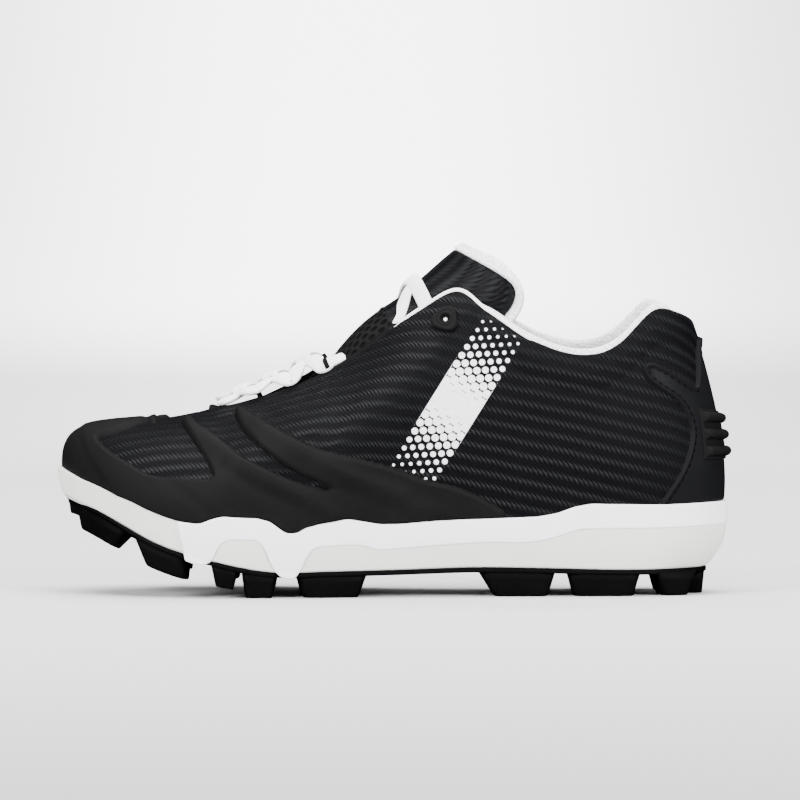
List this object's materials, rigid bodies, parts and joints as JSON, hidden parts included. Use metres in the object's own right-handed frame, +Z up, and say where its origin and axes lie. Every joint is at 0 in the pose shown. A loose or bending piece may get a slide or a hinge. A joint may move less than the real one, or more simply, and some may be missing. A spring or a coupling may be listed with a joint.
{
  "type": "baseball cleat",
  "caption": "Low-cut left baseball cleat with a moulded stud outsole, a clawed side frame, a finger-shaped toe guard, a padded tongue and flat lacing.",
  "frame": {"origin": "middle of the shoe's footprint, on the ground that the studs stand on", "axes": "-X to the toe, +X to the heel, -Y to the outer (lateral) side, +Z up"},
  "size_m": [0.2698, 0.0952, 0.1392],
  "materials": {
    "outsole_rubber": "matte moulded black rubber",
    "midsole_foam": "satin off-white foam",
    "frame_plastic": "smooth white moulded frame",
    "insole_fabric": "knit-topped foam sock liner",
    "upper_synthetic": "black synthetic embossed with a twill-like weave",
    "guard_rubber": "matte charcoal moulded rubber",
    "tongue_synthetic": "black padded tongue with a white fleece edge",
    "loop_webbing": "black woven tape",
    "lace_fabric": "white flat woven lace"
  },
  "bodies": {
    "root": {"outsole": "outsole_rubber", "midsole": "midsole_foam", "side_frame": "frame_plastic", "insole": "insole_fabric", "upper": "upper_synthetic", "toe_guard": "guard_rubber", "heel_counter": "upper_synthetic", "heel_bumper": "guard_rubber", "eyelet_lateral": "guard_rubber", "eyelet_medial": "guard_rubber", "tongue": "tongue_synthetic", "lace_loop_lateral_1": "loop_webbing", "lace_loop_lateral_2": "loop_webbing", "lace_loop_lateral_3": "loop_webbing", "lace_loop_medial_1": "loop_webbing", "lace_loop_medial_2": "loop_webbing", "lace_loop_medial_3": "loop_webbing", "laces": "lace_fabric", "lace_top": "lace_fabric"}
  },
  "joints": []
}
